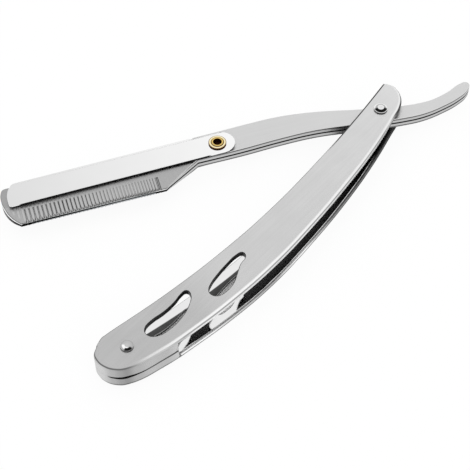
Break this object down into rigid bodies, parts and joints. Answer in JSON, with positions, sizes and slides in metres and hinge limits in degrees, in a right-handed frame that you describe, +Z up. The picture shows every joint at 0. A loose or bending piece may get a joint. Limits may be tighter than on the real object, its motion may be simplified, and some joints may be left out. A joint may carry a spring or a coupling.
{
  "type": "folding razor",
  "caption": "Folding barber's razor: bowed two-plate steel handle, riveted two-leaf arm that clamps a snapped half blade, and a folded cover that swings on a brass eyelet.",
  "frame": {"origin": "the pivot rivet's axis, in the plane that the razor lies on", "axes": "+X from the pivot rivet to the far rivet, +Y towards the handle's convex back, +Z up through the thickness"},
  "size_m": [0.1533, 0.0825, 0.011],
  "materials": {
    "brushed_steel": "brushed stainless steel",
    "leaf_steel": "brushed stainless steel",
    "rivet_steel": "polished steel",
    "blade_steel": "plain blade steel",
    "mirror_steel": "mirror-polished stainless steel",
    "brass": "polished brass"
  },
  "bodies": {
    "handle": {"front_scale": "brushed_steel", "rear_scale": "brushed_steel", "end_rivet": "rivet_steel", "end_spacer": "rivet_steel", "pivot_rivet": "rivet_steel", "pivot_washer_front": "rivet_steel", "pivot_washer_rear": "rivet_steel"},
    "arm": {"arm_front_leaf": "leaf_steel", "arm_rear_leaf": "leaf_steel", "blade_pin_toe": "rivet_steel", "blade_pin_heel": "rivet_steel", "half_blade": "blade_steel", "eyelet": "brass"},
    "cover": {"swing_cover": "mirror_steel"}
  },
  "joints": [
    {"name": "arm_fold", "type": "hinge", "parent": "handle", "child": "arm", "pos_m": [0, 0, 0.0055], "axis": [0, 0, 1], "range_deg": [-316, 26]},
    {"name": "cover_swing", "type": "hinge", "parent": "arm", "child": "cover", "pos_m": [0.04251, -0.0305, 0.0055], "axis": [0, 0, 1], "range_deg": [-100, 0]}
  ]
}
